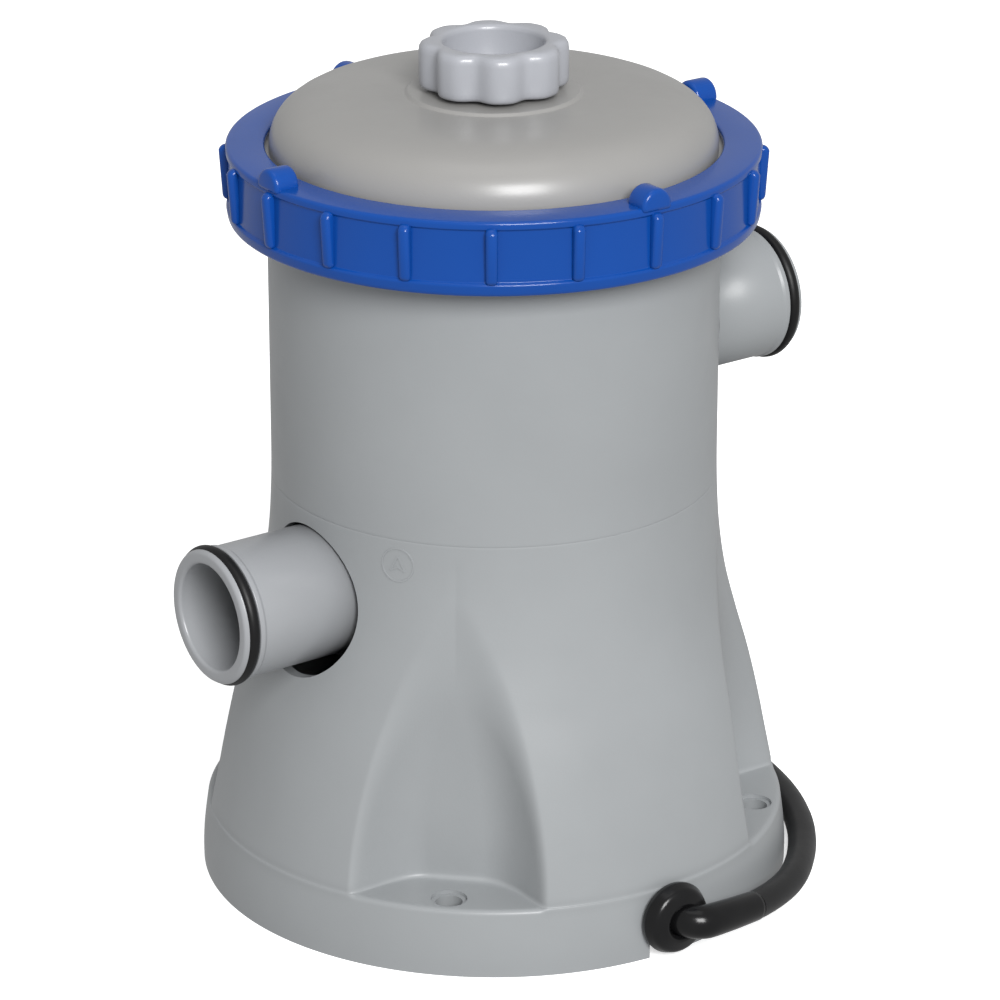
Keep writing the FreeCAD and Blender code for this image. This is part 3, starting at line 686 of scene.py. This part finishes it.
# ---- closure --------------------------------------------------------------------
def build_lock_ring():
    inner_foot_z, plate_z = 169.3, 185.4
    outline = rounded([(RING_BORE, inner_foot_z, 0.3), (60, inner_foot_z, 0.3), (60, 183, 0.5), (61.9, 183, 0.5),
                       (61.4, RING_FOOT_Z, 0.3), (64.0, RING_FOOT_Z, 1.2), (64.5, 172.0, 1.2), (63.7, 172.5, 0.3),
                       (63.8, 184.9, 0.25), (RING_R, plate_z, 0.3), (RING_R, RING_TOP_Z, 1.7),
                       (RING_OPEN, RING_TOP_Z, 0.7), (RING_OPEN, plate_z, 0.2), (RING_BORE, plate_z, 0.2)])
    ring = lathe("lock_ring_body", outline, segments=320)
    shapes = []
    rib = [(63.0, 171.8), (65.3, 172.2), (66.1, 184.4), (65.6, 185.6), (63.0, 186.0)]
    tab = [(LUG_R * math.cos(a), RING_TOP_Z + LUG_R * math.sin(a)) for a in np.linspace(0, math.pi, 25)]
    lug = prism([(LUG_R, 186.0)] + tab + [(-LUG_R, 186.0)], 58.3, 65.0)
    for k in range(RIB_COUNT):
        shapes.append(turned(prism(rib, -RIB_HALF, RIB_HALF), 360 / RIB_COUNT * k))
    for k in range(QUARTERS):
        shapes.append(turned(lug, 90 * k))
    ribs = joined("lock_ring_ribs", shapes, smooth=False)
    bevel(ribs, 1.1, 4, 30)
    apply_all(ribs)
    sharp_shading(ribs, 50)
    thread = joined("lock_ring_thread", [thread_ridge(RING_BORE, -1, 170.9, 1.1, 174)])
    merge(ring, ribs, thread)
    sharp_shading(ring, 50)
    place(ring, "ring_body", "ring_blue", "lock_ring")


def build_lid():
    """Domed lid: flat crown with a full shoulder, boss for the knob, and flange under the ring."""
    def crown(r, drop=0.0):
        return LID_EDGE_Z + (LID_TOP_Z - LID_EDGE_Z) * math.sqrt(max(1 - (r / LID_R) ** 8.2, 0)) - drop
    flange_low, flange_high, flange_r = 183.2, 185.2, 57.6
    boss_z, seat_z, hub_z = 199.7, 199.5, 190.0
    bore_r, hub_r, flat_r = 3.08, 7.0, 27.2
    outer = [(LID_R, flange_high), (LID_R, 186.0)]
    for r in (53.9, 53.6, 53.1, 52.4, 51.5, 50.4, 49.0, 47.4, 45.6, 43.6, 41.0, 38.0, 34.0, 30.0, flat_r):
        outer.append((r, crown(r)))
    boss = rounded([(flat_r, crown(flat_r), 0), (21.4, LID_TOP_Z, 0.6), (20.6, boss_z, 0.6), (9.6, boss_z, 0.4),
                    (9.0, seat_z, 0.2), (bore_r, seat_z, 0.3), (bore_r, hub_z, 0.2), (hub_r, hub_z, 0.4),
                    (hub_r, 197.0, 0)], closed=False)
    under = [(r, crown(r, LID_WALL)) for r in (20.0, 34.0, 41.0, 45.6, 48.6)] + [(51.4, 191.0), (51.6, flange_low)]
    flange = [(flange_r, flange_low), (flange_r, flange_high)]
    lid = lathe("lid_cover", outer + boss[1:] + under + flange, segments=256)
    sharp_shading(lid, 50)
    place(lid, "lid_body", "lid_grey", "lid")


def build_knob():
    """Eight-lobed air release knob with a deep round recess."""
    phase = math.radians(KNOB_TURN_DEG)
    columns = 384
    bar_r, full_r = 12.8, 16.2   # the lobes grow between these radii
    levels = [(0.0, 200.6), (14.8, 200.6), (16.9, 200.7), (17.6, 201.1), (17.9, 201.8), (18.0, 203.0), (18.0, 209.6),
              (17.85, 210.7), (17.4, 211.5), (16.6, 211.93), (15.6, 212.0), (13.5, 212.0), (12.75, 211.85),
              (12.3, 211.4), (12.15, 210.6), (12.0, 204.2), (11.6, 203.4), (10.8, 203.0), (0.0, 203.0)]
    points = []
    for radius, z in levels:
        lobed = min(max((radius - bar_r) / (full_r - bar_r), 0), 1)
        for k in range(columns):
            a = 2 * math.pi * k / columns
            dip = (0.5 - 0.5 * math.cos(KNOB_LOBES * (a - phase))) ** 1.7
            r = radius - KNOB_DIP * dip * lobed
            points.append((r * math.cos(a), r * math.sin(a), z))
    knob = add_mesh("air_release_knob", points, grid_faces(len(levels), columns))
    clean(knob)
    stem_outline = rounded([(0, 188.4, 0), (3.0, 188.4, 0.5), (3.0, 202, 0), (0, 202, 0)], closed=False)
    stem = lathe("air_release_stem", stem_outline, closed=False, segments=64)
    merge(knob, stem)
    sharp_shading(knob, 45)
    place(knob, "knob_body", "knob_grey", "air_knob")


# ---- mains lead -----------------------------------------------------------------
CORD_R = 3.6
# Points of the lead's runs, the same as in the CAD source. TAIL is in the coil's own frame.
ROUTE = [(22.0, -77.9, 7.7), (37.0, -72.0, 5.4), (55.2, -56.4, 3.9), (69.0, -37.8, 3.6), (77.6, -16.0, 3.6),
         (81.0, 8.0, 3.6), (88.0, 29.5, 3.6), (103.0, 50.0, 3.6), (116.0, 68.0, 3.6), (124.4, 88.0, 3.6),
         (126.0, 104.0, 3.6)]
BOOT = [(0.0, -68.0, 9.8), (0.3, -80.8, 9.7), (13.0, -80.2, 8.9), (22.0, -77.9, 7.7)]
TAIL = [(38.0, -10.0, 25.3), (40.6, 5.0, 25.9), (37.0, 21.0, 27.6), (27.0, 32.6, 29.6), (14.0, 37.6, 30.4),
        (6.0, 38.6, 30.4)]
COIL_X, COIL_Y = 79.0, 105.0
PLUG_TURN = -36.8
PLUG_AT = TAIL[-1]
PLUG_HALF = 17.5
PIN_SIDES = (-9.5, 9.5)
TIE_DEG = 210

# The coil lies in three layers of three turns, a cord apart: inwards, outwards, then inwards again.
TURN_POINTS = 16
LAYER = 2 * CORD_R
TURN_RADII = [47.2, 40.0, 32.8, 32.8, 40.0, 47.2, 47.2, 40.0, 32.8]
TURN_HEIGHTS = [CORD_R] * 3 + [CORD_R + LAYER] * 3 + [CORD_R + 2 * LAYER] * 3


def eased(t):
    """0 to 1 with level ends."""
    t = min(max(t, 0), 1)
    return t * t * (3 - 2 * t)


def coil_points():
    """Control points of the wound turns, from the route's end to the tail's start."""
    outset = 8 / (6 + 2 * math.cos(2 * math.pi / TURN_POINTS))
    end_deg = PLUG_TURN + math.degrees(math.atan2(TAIL[0][1], TAIL[0][0]))
    last = len(TURN_RADII) - 1
    total = 360 * last + (end_deg % 360) - 24
    shift = 70               # degrees in which the lead moves over to the next turn
    points = []
    at = 18.0
    while at < total:
        turn = int(at // 360)
        after = min(turn + 1, last)
        blend = eased((at % 360 - 360 + shift) / shift)
        radius = TURN_RADII[turn] * (1 - blend) + TURN_RADII[after] * blend
        height = TURN_HEIGHTS[turn] * (1 - blend) + TURN_HEIGHTS[after] * blend
        if turn == last:
            rise = eased((at - total + shift) / shift)
            height += 6.9 * rise
            radius += 5.5 * rise
        radius *= outset
        angle = math.radians(at)
        points.append((COIL_X + radius * math.cos(angle), COIL_Y + radius * math.sin(angle), height))
        at += 360 / TURN_POINTS
    return points


def on_coil(point):
    """From the coil's own frame, which is turned with the plug, to the object's."""
    c, s = math.cos(math.radians(PLUG_TURN)), math.sin(math.radians(PLUG_TURN))
    x, y, z = point
    return (COIL_X + c * x - s * y, COIL_Y + s * x + c * y, z)


def nurbs(name, points, radius):
    """Round cord along one smooth open spline."""
    curve = bpy.data.curves.new(name, "CURVE")
    curve.dimensions = "3D"
    spline = curve.splines.new("NURBS")
    spline.points.add(len(points) - 1)
    for control, point in zip(spline.points, points):
        control.co = (point[0] * MM, point[1] * MM, point[2] * MM, 1)
    spline.order_u = 3
    spline.use_endpoint_u = True
    spline.resolution_u = 8
    curve.bevel_depth = radius * MM
    curve.bevel_resolution = 8
    curve.use_fill_caps = True
    piece = bpy.data.objects.new(name, curve)
    bpy.context.collection.objects.link(piece)
    return piece


def centre_line(points):
    """Points read from the smooth spline through a list of control points."""
    guide = nurbs("guide", points, 0)
    guide.data.use_fill_caps = False
    guide.data.splines[0].resolution_u = 16
    bpy.context.view_layer.update()
    mesh = bpy.data.meshes.new_from_object(guide.evaluated_get(bpy.context.evaluated_depsgraph_get()))
    line = [Vector(v.co) / MM for v in mesh.vertices]
    bpy.data.objects.remove(guide)
    return line


def tube_along(name, line, radius_at, sides=48):
    """A tube whose radius follows radius_at(0..1)."""
    points = []
    lengths = [0.0]
    for a, b in zip(line, line[1:]):
        lengths.append(lengths[-1] + (b - a).length)
    for i, centre in enumerate(line):
        ahead = line[min(i + 1, len(line) - 1)] - line[max(i - 1, 0)]
        ahead.normalize()
        side = ahead.cross(Vector((0, 0, 1))).normalized()
        up = side.cross(ahead).normalized()
        r = radius_at(lengths[i] / lengths[-1])
        for k in range(sides):
            a = 2 * math.pi * k / sides
            points.append(tuple(centre + side * (r * math.cos(a)) + up * (r * math.sin(a))))
    faces = grid_faces(len(line), sides)
    faces.append(tuple(range(sides)))
    faces.append(tuple(range((len(line) - 1) * sides + sides - 1, (len(line) - 1) * sides - 1, -1)))
    return add_mesh(name, points, faces)


def build_grommet():
    outline = rounded([(CORD_R, -58.0, 0.2), (7.6, -58.0, 1.2), (8.4, -61.0, 0.8), (8.4, -68.5, 0.5),
                       (5.9, -68.5, 0), (5.9, -73.4, 0), (8.7, -73.4, 0.5), (9.1, -75.0, 1.2), (8.0, -77.7, 2.2),
                       (4.6, -78.9, 1.2), (CORD_R, -78.0, 0.3)], 8)
    grommet = lathe("lead_grommet", outline, axis="Y", origin=(0, 0, EXIT_Z))
    place(grommet, HOUSING, "grommet_rubber", "cord_grommet")
    return grommet


def build_lead():
    grommet = build_grommet()
    boot = tube_along("strain_relief", centre_line(BOOT), lambda t: 4.3 - 0.6 * max(t - 0.3, 0) / 0.7)
    place(boot, HOUSING, "grommet_rubber", "cord_boot")

    cord = nurbs("mains_lead", ROUTE + coil_points() + [on_coil(p) for p in TAIL], CORD_R)
    place(cord, HOUSING, "cord_rubber", "cord", "cord_coil", "cord_tail")

    plug = build_plug()
    pins = build_pins()
    tie = build_tie()


def build_plug():
    """Flat two-pin plug, thinner towards the lead."""
    x, y, z = PLUG_AT
    nose_x, shoulder_x, neck_x, middle_x = x - 44, x - 28, x - 12, x - 24
    plan = rounded([(nose_x, -PLUG_HALF, 5), (nose_x, PLUG_HALF, 5), (shoulder_x, PLUG_HALF, 7), (neck_x, 6.2, 4),
                    (x, 5.0, 1.5), (x, -5.0, 1.5), (neck_x, -6.2, 4), (shoulder_x, -PLUG_HALF, 7)], 6)
    layers = ((-8.4, 1.6), (-7.6, 0.5), (-6.0, 0.0), (6.0, 0.0), (7.6, 0.5), (8.4, 1.6))
    count = len(plan)
    points = []
    for lift, inset in layers:
        shrink_x = 1 - inset / 22
        shrink_y = 1 - inset / PLUG_HALF
        for px, py in plan:
            narrow = 1 - 0.36 * min(max((px - (x - 26)) / 26, 0), 1)
            points.append((middle_x + (px - middle_x) * shrink_x, y + py * shrink_y, z + lift * narrow))
    top = (len(layers) - 1) * count
    faces = [tuple(range(count)), tuple(range(top + count - 1, top - 1, -1))] + grid_faces(len(layers), count)
    plug = add_mesh("plug_moulding", *turned((points, faces), PLUG_TURN, (COIL_X, COIL_Y)))
    sharp_shading(plug, 50)
    place(plug, HOUSING, "plug_rubber", "plug_body")
    return plug


def build_pins():
    x, y, z = PLUG_AT
    outline = rounded([(0, 0, 0), (2.4, 0, 0), (2.4, -29, 1.6), (0, -29, 0)], closed=False)
    pins, other = [lathe("plug_pin_pair", outline, closed=False, segments=48, axis="X", origin=(x - 34, y + side, z))
                   for side in PIN_SIDES]
    merge(pins, other)
    spin = Matrix.Translation((COIL_X * MM, COIL_Y * MM, 0)) @ Matrix.Rotation(math.radians(PLUG_TURN), 4, "Z")
    pins.data.transform(spin)
    place(pins, HOUSING, "pin_metal", "plug_pins")
    return pins


def build_tie():
    """Flat tie round the turns."""
    inner = rounded([(28.6, 0.2, 3), (51.4, 0.2, 3), (51.4, 22.3, 3), (28.6, 22.3, 3)], 8)
    outer = rounded([(27.8, 0.0, 3.4), (52.2, 0.0, 3.4), (52.2, 23.1, 3.4), (27.8, 23.1, 3.4)], 8)
    count = len(inner)
    points = [(a, width, b) for width in (-1.8, 1.8) for ring in (inner, outer) for a, b in ring]
    faces = []
    for i in range(count):
        j = (i + 1) % count
        faces.append((i, j, count + j, count + i))
        faces.append((2 * count + i, 3 * count + i, 3 * count + j, 2 * count + j))
        faces.append((i, 2 * count + i, 2 * count + j, j))
        faces.append((count + i, count + j, 3 * count + j, 3 * count + i))
    tie = add_mesh("lead_tie", *turned((points, faces), TIE_DEG, (COIL_X, COIL_Y)))
    sharp_shading(tie)
    place(tie, HOUSING, "tie_white", "cord_tie")
    return tie


# ---- stage ----------------------------------------------------------------------
def area_light(name, location, target, size, power):
    data = bpy.data.lights.new(name, "AREA")
    data.shape = "RECTANGLE"
    data.size = data.size_y = size
    data.energy = power
    lamp = bpy.data.objects.new(name, data)
    lamp.location = location
    aim = Vector(target) - Vector(location)
    lamp.rotation_euler = aim.to_track_quat("-Z", "Y").to_euler()
    bpy.context.collection.objects.link(lamp)


def build_floor():
    reach, floor_z = 3000, -0.05
    corners = [(-reach, -reach, floor_z), (reach, -reach, floor_z), (reach, reach, floor_z), (-reach, reach, floor_z)]
    floor = add_mesh("floor", corners, [(0, 1, 2, 3)], smooth=False)
    material, tree, shader = new_material("floor_white")
    tint = noise(tree, 2, 2)
    tree.links.new(ramp(tree, tint, (0.97, 0.97, 0.97, 1), (0.99, 0.99, 0.99, 1)), shader.inputs["Base Color"])
    shader.inputs["Roughness"].default_value = 0.9
    shader.inputs["Emission Color"].default_value = (1, 1, 1, 1)
    shader.inputs["Emission Strength"].default_value = 0.6
    floor.data.materials.append(material)
    floor.visible_diffuse = False
    floor.visible_glossy = False


def build_lights():
    world = bpy.data.worlds.new("studio")
    bpy.context.scene.world = world
    world.use_nodes = True
    background = world.node_tree.nodes["Background"]
    background.inputs["Color"].default_value = (1, 1, 1, 1)
    background.inputs["Strength"].default_value = 0.52

    facing = Vector((0.5573, 0.7449, 0)).normalized()
    right = Vector((facing.y, -facing.x, 0))
    centre = Vector((0, 0, 0.1))
    area_light("key", centre - facing * 2.5 + right * 0.7 + Vector((0, 0, 1.65)), centre, 1.2, 98)
    area_light("top", centre - facing * 0.2 + Vector((0, 0, 3.0)), centre, 1.6, 6)


def build_camera():
    camera_data = bpy.data.cameras.new("camera")
    camera_data.lens = 172.08
    camera_data.sensor_width = 36
    camera_data.clip_start = 0.05
    camera = bpy.data.objects.new("camera", camera_data)
    camera.location = (-0.6379, -0.8934, 0.5268)
    camera.rotation_euler = Vector((0.5416, 0.7564, -0.3667)).to_track_quat("-Z", "Y").to_euler()
    bpy.context.collection.objects.link(camera)
    bpy.context.scene.camera = camera
    bpy.context.scene.view_settings.view_transform = "Standard"


finish_cad_nodes()
build_chamber()
build_skirt()
build_neck_and_inlet()
build_flow_mark()
build_outlet()
build_seals()
build_lock_ring()
build_lid()
build_knob()
build_lead()
build_floor()
build_lights()
build_camera()
